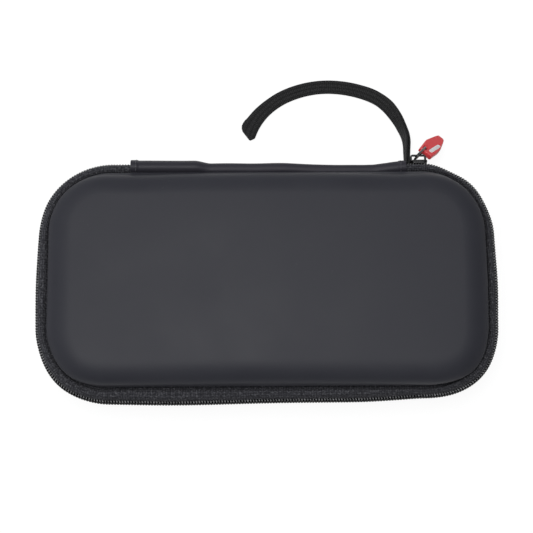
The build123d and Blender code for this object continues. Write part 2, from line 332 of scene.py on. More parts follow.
def makeWeaveGroup():
    # plain weave: threads as |sin| ridges, warp over weft on every other crossing
    sockets = [("Place", "Vector", None), ("Across", "Float", 1500.0), ("Along", "Float", 1500.0)]
    tree, take, give = newGroup("threadWeave", sockets, ["Height", "Fleck", "Mottle"])
    axes = addNode(tree, "ShaderNodeSeparateXYZ", {0: take["Place"]}).outputs
    u = calc(tree, "MULTIPLY", axes[0], take["Along"])
    v = calc(tree, "MULTIPLY", axes[1], take["Across"])
    ridges = [calc(tree, "ABSOLUTE", calc(tree, "SINE", calc(tree, "MULTIPLY", w, math.pi))) for w in (u, v)]
    steps = calc(tree, "ADD", calc(tree, "FLOOR", u), calc(tree, "FLOOR", v))
    over = calc(tree, "PINGPONG", steps, 1.0)
    weft = calc(tree, "MULTIPLY", ridges[0], over)
    warp = calc(tree, "MULTIPLY", ridges[1], calc(tree, "SUBTRACT", 1.0, over))
    tree.links.new(calc(tree, "ADD", weft, warp), give["Height"])
    tree.links.new(ramp(tree, noise(tree, take["Place"], 800.0), 0.52, 0.72), give["Fleck"])
    tree.links.new(ramp(tree, noise(tree, take["Place"], 430.0, 3.0, 0.7), 0.36, 0.64), give["Mottle"])
    return tree


def makeLintGroup():
    # stray pale specks: the brightest tips of fine noise, kept where a slow noise is high
    sockets = [("Place", "Vector", None), ("Fineness", "Float", 900.0)]
    tree, take, give = newGroup("lintSpecks", sockets, ["Mask"])
    tip = ramp(tree, noise(tree, take["Place"], take["Fineness"]), 0.68, 0.76)
    area = ramp(tree, noise(tree, take["Place"], 60.0), 0.45, 0.7)
    tree.links.new(calc(tree, "MULTIPLY", tip, area), give["Mask"])
    return tree


grainGroup = makeGrainGroup()
weaveGroup = makeWeaveGroup()
lintGroup = makeLintGroup()


def newMaterial(name, roughness, **sockets):
    material = bpy.data.materials.new(name)
    material.use_nodes = True
    tree = material.node_tree
    tree.nodes.clear()
    out = tree.nodes.new("ShaderNodeOutputMaterial")
    shader = addNode(tree, "ShaderNodeBsdfPrincipled", {"Roughness": roughness})
    for key, value in sockets.items():
        shader.inputs[key.replace("_", " ")].default_value = value
    tree.links.new(shader.outputs[0], out.inputs["Surface"])
    return material, tree, shader


def addBump(tree, shader, height, strength, depth):
    # bump of the given depth in metres into the shader's normal
    bump = addNode(tree, "ShaderNodeBump", {"Height": height, "Strength": strength, "Distance": depth})
    tree.links.new(bump.outputs[0], shader.inputs["Normal"])


def skinMaterial(name, look):
    # coated or moulded skin: pebbled bump, cloudy tone, roughness that follows the tone, a little lint
    material, tree, shader = newMaterial(name, look["roughness"], **look.get("sockets", {}))
    place = addNode(tree, "ShaderNodeTexCoord").outputs["Object"]
    grain = placeGroup(tree, grainGroup, Place=place, Pebbles=look["pebbles"])
    colour = blendColours(tree, grain["Cloud"], look["dark"], look["light"])
    lint = placeGroup(tree, lintGroup, Place=place)["Mask"]
    colour = blendColours(tree, calc(tree, "MULTIPLY", lint, look.get("lint", 0.0)), colour, (0.4, 0.4, 0.41))
    tree.links.new(colour, shader.inputs["Base Color"])
    rough = between(tree, grain["Cloud"], look["roughness"] - 0.05, look["roughness"] + 0.05)
    if "held" in look:  # rubbed dull on the walls of both ends, where it is held
        axes = addNode(tree, "ShaderNodeSeparateXYZ", {0: place}).outputs
        inside, outside, top, bottom, dull = look["held"]
        ends = ramp(tree, calc(tree, "ABSOLUTE", axes[0]), inside, outside)
        wall = ramp(tree, axes[2], top, bottom, dull)
        rough = calc(tree, "ADD", rough, calc(tree, "MULTIPLY", ends, wall))
    tree.links.new(rough, shader.inputs["Roughness"])
    addBump(tree, shader, grain["Height"], look["bump"], look["depth"])
    return material


def clothMaterial(name, look):
    # woven cloth on the piece's own UV map, in metres: thread bump, painted shade between threads, mottled,
    # flecked
    material, tree, shader = newMaterial(name, look["roughness"], **look.get("sockets", {}))
    place = addNode(tree, "ShaderNodeTexCoord").outputs["UV"]
    weave = placeGroup(tree, weaveGroup, Place=place, Along=look["along"], Across=look["across"])
    shade = between(tree, weave["Mottle"], 1 - look.get("mottle", 0.3), 1.0)
    # painted shade: colour goes from dark in the hollows between threads to light on their tops
    thread = blendColours(tree, calc(tree, "MULTIPLY", weave["Height"], shade), look["dark"], look["light"])
    fleck = calc(tree, "MULTIPLY", weave["Fleck"], look["fleck"])
    tree.links.new(blendColours(tree, fleck, thread, look["pale"]), shader.inputs["Base Color"])
    addBump(tree, shader, weave["Height"], look["bump"], look["depth"])
    return material


def coilMaterial(name, look):
    # nylon wire, with a painted highlight in pale at the bend of each turn: u counts turns, and the sine
    # peaks just past the bend
    material, tree, shader = newMaterial(name, look["roughness"], Specular_IOR_Level=look["shine"])
    coords = addNode(tree, "ShaderNodeTexCoord").outputs
    turns = addNode(tree, "ShaderNodeSeparateXYZ", {0: coords["UV"]}).outputs[0]
    angle = calc(tree, "MULTIPLY", turns, 2 * math.pi / millimetre)
    bend = ramp(tree, calc(tree, "SINE", calc(tree, "SUBTRACT", angle, 0.3)), 0.6, 0.9)
    patches = noise(tree, coords["Object"], look["uneven"], 1.0)
    # painted highlight: pale colour on the top bend of every turn, broken into uneven patches by noise
    paintedHighlight = calc(tree, "MULTIPLY", bend, between(tree, patches, 0.1, 1.5))
    tree.links.new(blendColours(tree, paintedHighlight, look["dark"], look["pale"]), shader.inputs["Base Color"])
    return material


coverSkin = skinMaterial("leatheretteCover", {
    "dark": (0.0345, 0.0350, 0.0435), "light": (0.0395, 0.0400, 0.0490), "roughness": 0.48, "pebbles": 1900.0,
    "bump": 0.25, "depth": 0.00012, "lint": 0.05, "held": (0.095, 0.115, 0.042, 0.037, 0.3),
    "sockets": {"Specular_IOR_Level": 0.18}})
bandSkin = skinMaterial("coatedBand", {
    "dark": (0.029, 0.028, 0.036), "light": (0.036, 0.034, 0.044), "roughness": 0.52, "pebbles": 2600.0,
    "bump": 0.2, "depth": 0.00008, "lint": 0.04, "sockets": {"Specular_IOR_Level": 0.25}})
liningCloth = skinMaterial("brushedLining", {
    "dark": (0.018, 0.018, 0.021), "light": (0.030, 0.030, 0.034), "roughness": 0.9, "pebbles": 3600.0,
    "bump": 0.5, "depth": 0.0002, "lint": 0.12, "sockets": {"Sheen_Weight": 0.35, "Sheen_Roughness": 0.6}})
tapeCloth = clothMaterial("wovenTape", {
    "dark": (0.015, 0.015, 0.018), "light": (0.075, 0.075, 0.086), "pale": (0.22, 0.22, 0.235),
    "fleck": 0.45, "mottle": 0.7, "roughness": 0.85, "along": 720.0, "across": 640.0, "bump": 0.7,
    "depth": 0.0004, "sockets": {"Specular_IOR_Level": 0.2}})
bindingCloth = clothMaterial("bindingTape", {
    "dark": (0.010, 0.010, 0.012), "light": (0.030, 0.030, 0.034), "pale": (0.08, 0.08, 0.085), "fleck": 0.2,
    "roughness": 0.85, "along": 1000.0, "across": 1400.0, "bump": 0.6, "depth": 0.00025})
strapCloth = clothMaterial("ribbedWebbing", {
    "dark": (0.010, 0.010, 0.010), "light": (0.036, 0.036, 0.037), "pale": (0.09, 0.09, 0.092), "fleck": 0.15,
    "roughness": 0.8, "along": 900.0, "across": 420.0, "bump": 0.9, "depth": 0.0004,
    "sockets": {"Specular_IOR_Level": 0.2}})
elasticCloth = clothMaterial("gatheredElastic", {
    "dark": (0.008, 0.008, 0.010), "light": (0.028, 0.028, 0.031), "pale": (0.07, 0.07, 0.075), "fleck": 0.2,
    "roughness": 0.8, "along": 700.0, "across": 1300.0, "bump": 0.8, "depth": 0.0003})
netYarn = clothMaterial("netYarn", {
    "dark": (0.010, 0.010, 0.012), "light": (0.030, 0.030, 0.033), "pale": (0.07, 0.07, 0.075), "fleck": 0.1,
    "roughness": 0.7, "along": 2200.0, "across": 2200.0, "bump": 0.5, "depth": 0.0001})
coilNylon = coilMaterial("coilNylon", {
    "dark": (0.006, 0.006, 0.007), "pale": (0.33, 0.33, 0.34), "uneven": 420.0,
    "roughness": 0.5, "shine": 0.1})
threadNylon = skinMaterial("sewingThread", {
    "dark": (0.070, 0.068, 0.078), "light": (0.110, 0.106, 0.120), "roughness": 0.5, "pebbles": 5200.0,
    "bump": 0.4, "depth": 0.00006})
sliderEnamel = skinMaterial("sliderEnamel", {
    "dark": (0.007, 0.007, 0.008), "light": (0.011, 0.011, 0.012), "roughness": 0.45, "pebbles": 2400.0,
    "bump": 0.1, "depth": 0.00005})
linkGloss = skinMaterial("linkGloss", {
    "dark": (0.010, 0.010, 0.011), "light": (0.014, 0.014, 0.015), "roughness": 0.16, "pebbles": 1600.0,
    "bump": 0.04, "depth": 0.00004, "sockets": {"Coat_Weight": 0.6, "Coat_Roughness": 0.08}})
tabRubber = skinMaterial("tabRubber", {
    "dark": (0.80, 0.060, 0.068), "light": (0.88, 0.076, 0.086), "roughness": 0.42, "pebbles": 2200.0,
    "bump": 0.12, "depth": 0.00006, "lint": 0.02})
inlayWhite = skinMaterial("inlayWhite", {
    "dark": (0.86, 0.83, 0.84), "light": (0.92, 0.90, 0.90), "roughness": 0.35, "pebbles": 2000.0,
    "bump": 0.06, "depth": 0.00004})
print("materials ready:", len(bpy.data.materials))


# Camera: the photograph's view, worked out from the case's outline in it
cameraView = {"target": (0.0, 0.0, 0.022), "distance": 0.8, "azimuth": 0.307, "elevation": 77.468,
              "lens": 95.28, "sensor": 36.0, "shiftX": 0.0, "shiftY": 0.0281}


def addCamera(view):
    turn, tilt = math.radians(view["azimuth"]), math.radians(view["elevation"])
    ahead = Vector((math.sin(turn) * math.cos(tilt), math.cos(turn) * math.cos(tilt), -math.sin(tilt)))
    right = Vector((math.cos(turn), -math.sin(turn), 0))
    up = right.cross(ahead)
    place = Vector(view["target"]) - ahead * view["distance"]
    data = bpy.data.cameras.new("photoCamera")
    data.lens = view["lens"]
    data.sensor_width = view["sensor"]
    data.sensor_fit = "HORIZONTAL"
    data.shift_x = view["shiftX"]
    data.shift_y = view["shiftY"]
    data.clip_start = 0.01
    camera = bpy.data.objects.new("photoCamera", data)
    camera.matrix_world = Matrix.Translation(place) @ Matrix((right, up, -ahead)).transposed().to_4x4()
    bpy.context.scene.collection.objects.link(camera)
    bpy.context.scene.camera = camera


addCamera(cameraView)


# Wrist strap: one length of webbing, doubled, on edge where it leaves the zip's end and flat on the table
strapForm = {
    "route": [(81.5, 66.0, 22.0), (81.8, 75.5, 20.6), (82.9, 87.0, 12.0), (81.2, 97.0, 4.6),
              (77.2, 105.0, 1.3),
              (71.5, 113.0, 1.3), (62.6, 119.0, 1.3), (50.3, 122.8, 1.3), (37.2, 124.2, 1.3),
              (24.6, 122.8, 1.3),
              (12.6, 118.8, 1.3), (3.4, 113.2, 1.3), (-4.0, 105.8, 1.3), (-8.8, 97.0, 1.3),
              (-10.6, 92.0, 1.3)],
    "width": 8.0,
    "layer": 1.05,  # thickness of one layer of webbing
    "apart": 0.68,  # each layer's middle stands this far from the shared middle line
    "edge": 0.42,
    # the layers fan out to one side by the fold, and the fold lies slantwise with its tip off the middle
    "foldFan": 0.5, "fanLong": 30.0, "foldTip": -1.6, "foldSlant": 0.66, "foldBack": 1.0, "foldRound": 0.5,
    "foldEase": 15.0,
    "twistAt": [0, 17, 31, 38, 45, 56, 72],  # running lengths and the turn from flat there, in degrees
    "twist": [88, 80, 73, 63, 50, 24, 0],
}


def readRoute(points):
    # points along the route's own smooth spline, in millimetres
    curve = bpy.data.curves.new("strapRoute", "CURVE")
    curve.dimensions = "3D"
    curve.resolution_u = 9
    spline = curve.splines.new("NURBS")
    spline.points.add(len(points) - 1)
    spline.points.foreach_set("co", np.array([(*p, 1 / millimetre) for p in points]).ravel() * millimetre)
    spline.order_u = 3
    spline.use_endpoint_u = True
    holder = bpy.data.objects.new("strapRoute", curve)
    bpy.context.scene.collection.objects.link(holder)
    mesh = bpy.data.meshes.new_from_object(holder)
    line = np.zeros(len(mesh.vertices) * 3)
    mesh.vertices.foreach_get("co", line)
    bpy.data.objects.remove(holder)
    bpy.data.meshes.remove(mesh)
    bpy.data.curves.remove(curve)
    return line.reshape(-1, 3) / millimetre


def strapBar(form):
    # rounded bar with more points across its two faces
    bar = roundBar(form["width"], form["layer"], form["edge"])
    face = np.stack([np.linspace(0.36, -0.36, 7) * form["width"], np.full(7, form["layer"] / 2)], -1)
    return np.concatenate([bar[:3], face, bar[3:9], -face, bar[9:]])


def makeStrap(form):
    # a rounded bar carried out along one layer, round a half turn at the fold and back along the other
    line = readRoute(form["route"])
    length = runLength(line)
    twist = np.radians(np.interp(length, form["twistAt"], form["twist"]))[:, None]
    stand = form["width"] / 2 * np.sin(twist[:, 0]) + form["layer"] * np.cos(twist[:, 0]) - line[:, 2] + 0.25
    line[:, 2] += (stand + np.hypot(stand, 0.4)) / 2  # turned webbing stands on its lower edge
    along = unit(np.gradient(line, axis=0))
    level = unit(np.stack([along[:, 1], -along[:, 0], np.zeros(len(line))], -1))
    upright = np.cross(level, along)
    across = unit(level * np.cos(twist) + upright * np.sin(twist))
    off = np.cross(across, along)
    bulge = form["apart"] * (1 + 0.10 * np.sin(length / 9.0))[:, None] * smoothStep(length, -20, 4)[:, None]
    turn = np.linspace(-math.pi / 2, math.pi / 2, 9)[1:-1, None]
    fold = line[-1] + form["apart"] * (np.cos(turn) * along[-1] - np.sin(turn) * off[-1])
    path = np.concatenate([line + off * bulge, fold, (line - off * bulge)[::-1]])
    wide = np.concatenate([across, np.repeat(across[-1:], len(turn), 0), across[::-1]])
    thin = np.cross(wide, unit(np.gradient(path, axis=0)))
    bar = strapBar(form)
    run = runLength(path)
    fromFold = np.abs(run - run[-1] / 2)[:, None, None]
    fan = form["foldFan"] * (1 - smoothStep(fromFold, 0, form["fanLong"]))
    place = bar[None, :, :1] * (1 + fan * (bar[None, :, :1] > 0))
    beyond = place - form["foldTip"]
    drawn = form["foldSlant"] * np.maximum(beyond, 0) + form["foldBack"] * np.maximum(-beyond, 0)
    drawn = drawn + form["foldRound"] * np.maximum(place - form["width"] / 2 - 0.2, 0) ** 2
    drawn = drawn * (1 - smoothStep(fromFold, 0, form["foldEase"]))
    grid = path[:, None] + wide[:, None] * place + thin[:, None] * bar[None, :, 1:] - along[-1] * drawn
    surface = gridSurface(grid, closedV=True, caps="ends", u=run, v=runLength(bar))
    strap = addPiece("wristStrap", [surface], [strapCloth], sharp=60)
    dress(strap, "base", ["wrist_strap"])
    print("strap line", round(float(length[-1]), 1), "mm")
    return strap


makeStrap(strapForm)


# Moulded shells: outside of leatherette, inside of brushed lining
shellForm = {
    "wall": 3.0, "depth": 12.0, "rimRoll": 1.1, "draft": 3.0, "innerEdge": 4.5,
    "poleRadius": 3.0, "poleScale": 0.05,
}
lidForm = {
    "edgeWide": 14.0, "edgeTall": 9.8, "crown": 1.0, "unevenness": 0.06,
    # walls pressed out or in above the rim: running length of the place, its spread, and how far
    "lean": [(20, 70, -1.2), (80, 30, -1.4), (181, 34, 1.1), (241, 19, 2.8), (360, 70, -0.6), (478, 16, 1.4),
             (516, 30, -0.5),
             (643.9, 30, -1.4), (703.9, 70, -1.2)],
}
baseForm = {"edgeWide": 6.0, "edgeTall": 6.0, "crown": 0.0, "unevenness": 0.0, "lean": [(0, 1, 0)]}


def shellProfile(form, wide, tall):
    # rows of ring scale, ring radius and height over the rim: from the outer middle over an elliptic edge
    # and the rim to the inner middle
    depth, wall, roll = form["depth"], form["wall"], form["rimRoll"]
    pole = form["poleRadius"]
    slope = math.tan(math.radians(form["draft"]))
    edgeStart = rimRadius - slope * (depth - tall) - wide
    inner = rimRadius - wall
    innerStart = inner - form["innerEdge"]
    scaleIn = np.linspace(form["poleScale"], 1, 10)[:-1]
    rows = [np.stack([scaleIn, np.full(9, pole), np.full(9, depth)], -1)]
    across = lambda low, high, count, height: np.linspace((low, height), (high, height), count)
    outline = [across(pole, edgeStart - 1.5, 8, depth)]
    outline.append(arcPoints((0, 0), 1.0, 90, form["draft"], 20) * (wide, tall) + (edgeStart, depth - tall))
    outline.append(np.linspace((rimRadius - slope * 2.0, 2.0), (rimRadius, roll), 3))
    outline.append(arcPoints((rimRadius - roll, roll), roll, -15, -90, 6))
    outline.append(arcPoints((inner + 0.5, 0.5), 0.5, -90, -180, 4))
    outline.append(np.stack([np.full(2, inner), np.array([2.0, depth - wall - form["innerEdge"]])], -1))
    outline.append(arcPoints((innerStart, depth - wall - form["innerEdge"]), form["innerEdge"], 12, 90, 7))
    outline.append(across(innerStart - 2.0, pole, 6, depth - wall))
    outline = np.concatenate(outline)
    rows.append(np.concatenate([np.ones((len(outline), 1)), outline], -1))
    rows.append(np.stack([scaleIn[::-1], np.full(9, pole), np.full(9, depth - wall)], -1))
    rows = np.concatenate(rows)
    # the rim's lowest row parts outside from inside
    turned = int(np.argmin(rows[:, 2] + (rows[:, 1] > inner + 1.0) * 0.01))
    return rows, turned


def makeShell(name, node, body, form, look, rim, way):
    # ring scale times outline point, height from the rim, with a crown (1-x^2)(1-y^2) and slow waves
    rows, turned = shellProfile(form, look["edgeWide"], look["edgeTall"])
    s = trackStations(zipRadius, 7.0, 24)
    core, outward = trackAt(s, zipRadius)
    above = smoothStep(rows[:, 2], 0.3, 3.5) * smoothStep(rows[:, 1], 4, 26)
    out = rows[None, :, 1] + bellCurves(s, look["lean"])[:, None] * above
    flat = rows[None, :, :1] * (core[:, None] + out[..., None] * outward[:, None])
    x, y = flat[..., 0], flat[..., 1]
    share = (rows[:, 2] / form["depth"])[None] ** 2
    dome = (1 - (x / (coreX + rimRadius)) ** 2) * (1 - (y / (coreY + rimRadius)) ** 2)
    waves = np.sin(x / 17 + 0.7 * np.sin(y / 23)) * np.cos(y / 14 - 0.5) + 0.6 * np.sin(x / 41 + y / 29)
    lift = share * (look["crown"] * (dome - 1) + look["unevenness"] * (waves - 1.6))
    height = rim + way * (rows[None, :, 2] + lift)
    grid = np.concatenate([flat, height[..., None]], -1)
    slots = (np.arange(len(rows)) >= turned).astype(int)
    surface = gridSurface(grid, closedU=True, caps="poles", slots=slots)
    shell = addPiece(name, [surface], [coverSkin, liningCloth])
    dress(shell, body, [node])
    return shell


makeShell("lidShell", "lid_shell", "lid", shellForm, lidForm, lidRim, 1)
makeShell("baseShell", "base_shell", "base", shellForm, baseForm, baseRim, -1)


# Zip: woven tapes, helical coils, and the two ends beside the hinge, which on the case twist as the lid opens
# but here stay as made
zipForm = {
    "startX": 78.2, "stopX": -74.4,  # ends of the run at the back, right and left
    # the ends stay closed here, up to this height, and turn over this height
    "endLong": 16.0, "endHold": 4.6, "endRise": 4.8,
    # share of each back corner after which the run is wholly the lid's
    "lidFromRight": 0.62, "lidFromLeft": 0.62,
    "tape": 0.95, "tuck": -2.6, "top": 8.5, "face": flare - 2.25, "slot": 0.7,
    "ripple": 0.14,
    # the soft zip bulges out or draws in a little: running length of the place, its spread, and how far
    "slump": [(108, 9, -1.0), (138, 12, -0.8), (184, 19, 0.9), (236, 13, 0.8), (272, 18, -2.0),
              (294, 14, -0.4),
              (412, 42, 1.2),
              (480, 13, 0.7), (504, 11, -0.4), (540, 17, 0.5), (577, 12, -0.6)],
    "sag": [(120, 26, 2.4), (182, 40, 2.6)], "seamWiden": 0.55,  # and lies lower here, with a wider seam
    "pitch": 1.58, "wire": 0.40, "swollen": 0.95,
    "coilOut": flare - 1.15, "coilMiddle": 1.62, "coilDeep": 0.85, "coilTall": 1.42,
}


def tapeLine(form):
    # from under the rim into the seam, over a soft shoulder to the zip: two cubic curves between straights
    top, face = form["top"], form["face"]
    start = np.array([[form["tuck"], top], [-1.8, top]])
    seam = bezierPoints((-1.0, top), (0.2, top - 1.8), (0.7, top - 3.0), (1.6, top - 1.3), 10)
    shoulder = bezierPoints((1.9, top - 0.7), (3.1, top + 1.2), (face + 0.4, top - 0.3), (face, 3.6), 14)
    fall = np.array([[form["face"], 2.4], [form["face"], 1.4], [form["face"], form["slot"]]])
    return np.concatenate([start, seam, shoulder, fall])


def makeTape(form, s, side):
    # tape outline carried along the track; ripples and the slump grow towards the zip, and the shoulder sags
    line = tapeLine(form)
    outline = thickLine(line, form["tape"])
    wave = np.sin(s / 7.3 + 1.3 * np.sin(s / 31.0)) + 0.5 * np.sin(s / 3.1)
    loose = smoothStep(outline[:, 0], -0.5, 3.0) * smoothStep(outline[:, 1], 0.5, 5.0)
    slump = bellCurves(s, form["slump"])[:, None] * smoothStep(outline[:, 0], 0.8, form["face"] - 0.5)
    out = rimRadius + outline[None, :, 0] + form["ripple"] * wave[:, None] * loose[None] + slump
    lowered = smoothStep(outline[:, 0], -1.0, 0.8) * smoothStep(outline[:, 1], 2.5, 7.0)
    sag = bellCurves(s, form["sag"])[:, None] * lowered[None]
    out = out + form["seamWiden"] * sag * (1 - smoothStep(outline[:, 0], 1.2, 4.6))[None]
    ripple = 0.5 * form["ripple"] * wave[:, None] * loose[None]
    height = zipHeight + side * (outline[None, :, 1] - sag + ripple)
    grid = carryAlongTrack(s, out, height, zipRadius)
    return gridSurface(grid, closedV=True, caps="ends", u=s, v=runLength(outline))


def makeCoil(form, low, high, side):
    # helix along the track: out + a cos t, height + b sin t, a pitch further each turn; the wire is a tube
    turns = round((high - low) / form["pitch"])
    t = np.linspace(0, 2 * math.pi * turns, turns * 12 + 1)
    s = low + (high - low) * t / t[-1] + 0.25 * (1 - side) * form["pitch"]
    core, outward = trackAt(s, zipRadius)
    nose = np.clip(-np.sin(t), 0, 1) ** 4
    deep = form["coilDeep"] * np.cos(t) * (1 - 0.25 * nose)
    out = rimRadius + form["coilOut"] + deep + bellCurves(s, form["slump"])
    height = zipHeight + side * (form["coilMiddle"] + form["coilTall"] * np.sin(t))
    path = np.concatenate([core + out[:, None] * outward, height[:, None]], -1)
    ahead = np.stack([outward[:, 1], -outward[:, 0], np.zeros(len(s))], -1)
    # turns are broad but for the bend by the tape
    swollen = 1 + form["swollen"] * (1 - smoothStep(np.sin(t), -0.1, 0.75))
    grid = tubeAlong(path, form["wire"] * (1 - 0.1 * nose), 6, side=ahead, widen=swollen)
    return gridSurface(grid, closedV=True, caps="ends", u=t / (2 * math.pi), v=np.arange(6) / 6)


def runAtX(x):
    # running length of a place on the back straight, right of the middle for x over 0
    return x if x > 0 else trackStops(zipRadius)[-1] + x


def cutStations(low, high):
    # track stations between two running lengths, with both ends
    s = trackStations(zipRadius, 3.0, 30)
    return np.concatenate([[low], s[(s > low + 0.5) & (s < high - 0.5)], [high]])


def turnWithLid(piece):
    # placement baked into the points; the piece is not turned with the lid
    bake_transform(piece)


def makeZip(form):
    stops = trackStops(zipRadius)
    first, last = runAtX(form["startX"]), runAtX(form["stopX"])
    lidFirst = stops[1] + form["lidFromRight"] * (stops[2] - stops[1])
    lidLast = stops[8] - form["lidFromLeft"] * (stops[8] - stops[7])
    dress(addPiece("baseTape", [makeTape(form, cutStations(first, last), -1)], [tapeCloth]), "base",
             ["base_zip_tape"])
    dress(addPiece("lidTape", [makeTape(form, cutStations(lidFirst, lidLast), 1)], [tapeCloth]), "lid",
             ["lid_zip_tape"])
    coil = addPiece("baseCoil", [makeCoil(form, first, last, -1)], [coilNylon])
    dress(coil, "base", ["base_zip_coil"])
    coil = addPiece("lidCoil", [makeCoil(form, lidFirst, lidLast, 1)], [coilNylon])
    dress(coil, "lid", ["lid_zip_coil"])
    for label, fixed, loose, way in (("right", first, lidFirst, 1), ("left", last, lidLast, -1)):
        split = fixed + way * form["endLong"]
        core, outward = trackAt(np.array([split, loose]), zipRadius)
        spot, far = core + zipRadius * outward
        along = way * np.array([outward[0, 1], -outward[0, 0]])
        slope = (1.1 + form["endHold"] / form["endRise"]) / np.dot(far - spot, along)
        nearTape = makeTape(form, cutStations(*sorted((fixed, split))), 1)
        near = addPiece(label + "EndTape", [nearTape], [tapeCloth])
        turnedTape = makeTape(form, cutStations(*sorted((split, loose))), 1)
        turned = addPiece(label + "TurnTape", [turnedTape], [tapeCloth])
        coil = addPiece(label + "EndCoil", [makeCoil(form, *sorted((fixed, loose)), 1)], [coilNylon])
        for piece, node, slot, steep in ((near, "lid_tape_ends", "zip_tape", 0),
                                         (turned, "lid_tape_ends", "zip_tape", slope),
                                         (coil, "lid_coil_ends", "zip_coil", slope)):
            turnWithLid(piece)
            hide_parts(node)


makeZip(zipForm)


# Hinge band: coated cloth wrapped round the back from rim to rim, with a sewn hem at each end, and its lining
bandForm = {
    "left": -77.2, "right": 80.0, "thick": 1.1, "hem": 4.2, "hemStep": 0.35,
    "tuck": -2.6, "top": 9.2, "seam": 1.5,
    "reach": flare - 1.0, "leftSwell": 1.9, "rightDraw": 1.4, "rightSwell": 1.0, "bend": 4.2,
    "stitchPitch": 2.5, "stitchLong": 1.8, "thread": 0.2,
    "liningReach": flare - 3.6, "liningTop": 7.8, "liningThick": 0.7,
}


def bandLine(reach, top, tuck, bend, seamDeep, count=10):
    # C-shaped line: into the seam by the lid rim, out and round the back, down and in to the base rim
    seam = bezierPoints((-0.9, top), (0.1, top - seamDeep), (0.5, top - 1.5 * seamDeep),
                        (1.3, top - 0.7 * seamDeep), 7)
    upper = bezierPoints((1.6, top - 0.35 * seamDeep), (reach - 0.5 * bend, top + 0.4 * seamDeep),
                         (reach, top - 0.3 * bend),
                         (reach, top - bend - 1.2), count)
    upper = np.concatenate([seam, upper])
    lower = upper[::-1] * (1, -1)
    start = np.array([[tuck, top], [tuck + 0.9, top]])
    middle = np.array([[reach + 0.05, 1.5], [reach + 0.05, -1.5]])
    return np.concatenate([start, upper, middle, lower, start[::-1] * (1, -1)])


def bandSection(form, x):
    # the line given its thickness, then moved out by swells that change along x and by a step over the hems
    swell = form["leftSwell"] * (1 - smoothStep(x, -41, -31)) + form["rightSwell"] * smoothStep(x, 60, 80)
    swell -= form["rightDraw"] * smoothStep(x, 8, 44) * (1 - smoothStep(x, 54, 78)) + 0.2
    swell += 0.12 * np.sin(x / 6.1 + np.sin(x / 17)) - 0.1 * bellCurves(x, [(62, 2.2, 1), (69, 1.6, 1)])
    hem = 1 - smoothStep(x, form["left"] + form["hem"] - 0.3, form["left"] + form["hem"] + 0.3)
    hem = hem + smoothStep(x, form["right"] - form["hem"] - 0.3, form["right"] - form["hem"] + 0.3)
    line = bandLine(form["reach"], form["top"], form["tuck"], form["bend"], form["seam"])
    outline = thickLine(line, form["thick"])
    outer = np.arange(len(outline)) > len(line)  # the half of the outline on the outside
    away = unit(outline - np.array([-1.0, 0.0]))
    loose = smoothStep(outline[:, 0], -0.5, 2.5)
    push = swell[:, None] * loose[None] + hem[:, None] * form["hemStep"] * (loose * outer)[None]
    section = outline[None] + away[None] * push[..., None]
    grid = np.stack([np.broadcast_to(x[:, None], section.shape[:2]), coreY + rimRadius + section[..., 0],
                     zipHeight + section[..., 1]], -1)
    return grid, outer, runLength(outline)


def makeBand(form):
    hems = np.array([form["left"] + form["hem"], form["right"] - form["hem"]])
    x = np.linspace(form["left"], form["right"], 150)
    x = np.unique(np.concatenate([x, (hems[:, None] + np.array([-0.25, 0.0, 0.25])).ravel()]))
    grid, _, girth = bandSection(form, x)
    return gridSurface(grid, closedV=True, caps="ends", u=x - x[0], v=girth)


def makeStitches(form, x):
    # short thread tubes along the band's outside at one x: evenly spaced on its girth, arched off the cloth
    grid, outer, _ = bandSection(form, np.array([x]))
    line = grid[0, outer][:-1]
    girth = runLength(line)
    starts = np.arange(3.2, girth[-1] - 4.6, form["stitchPitch"])
    share = np.linspace(0, 1, 6)
    stitches = []
    for start in starts:
        spot = start + share * form["stitchLong"]
        path = np.stack([np.interp(spot, girth, line[:, k]) for k in range(3)], -1)
        away = unit(path - np.array([x, coreY + rimRadius - 1.0, zipHeight]))
        path = path + away * (0.16 * np.sin(math.pi * share) - 0.05)[:, None]
        tube = tubeAlong(path, form["thread"], 6, side=(1, 0, 0))
        stitches.append(gridSurface(tube, closedV=True, caps="ends", slots=np.ones(6, int)))
    return stitches


def makeBandLining(form):
    # the same C, smaller and plain
    x = np.linspace(form["left"], form["right"], 60)
    line = bandLine(form["liningReach"], form["liningTop"], form["tuck"], 3.4, 0.3)
    outline = thickLine(line, form["liningThick"])
    grid = np.stack([np.broadcast_to(x[:, None], (60, len(outline))),
                     np.broadcast_to(coreY + rimRadius + outline[:, 0], (60, len(outline))),
                     np.broadcast_to(zipHeight + outline[:, 1], (60, len(outline)))], -1)
    return gridSurface(grid, closedV=True, caps="ends", u=x - x[0], v=runLength(outline))


def bendWithLid(piece):
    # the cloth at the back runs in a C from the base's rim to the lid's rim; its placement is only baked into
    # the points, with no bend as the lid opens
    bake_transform(piece)


sewn = makeStitches(bandForm, bandForm["left"] + 3.0) + makeStitches(bandForm, bandForm["right"] - 3.0)
band = addPiece("hingeBand", [makeBand(bandForm)] + sewn, [bandSkin, threadNylon], sharp=50)
bendWithLid(band)
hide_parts("hinge_band")
bandLining = addPiece("hingeLining", [makeBandLining(bandForm)], [liningCloth], sharp=50)
bendWithLid(bandLining)
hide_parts("hinge_lining")


# Binding sewn inside each rim
bindingForm = {"out": rimRadius - 4.0, "thick": 1.1, "height": 2.0, "rib": 0.06, "ribStep": 2.4}


def makeBinding(name, node, body, form, rim, way):
    # rounded bar carried round the inside of the rim, with a slow puckered wave along it
    bar = roundBar(form["thick"], form["height"], 0.45, 4)
    s = trackStations(rimRadius, 2.0, 36)
    pucker = form["rib"] * np.sin(2 * math.pi * s / form["ribStep"])[:, None]
    grid = carryAlongTrack(s, form["out"] + bar[None, :, 0] + pucker,
                           rim + way * (form["height"] / 2 + bar[None, :, 1]), rimRadius)
    surface = gridSurface(grid, closedU=True, closedV=True, u=s, v=runLength(bar))
    piece = addPiece(name, [surface], [bindingCloth])
    dress(piece, body, [node])


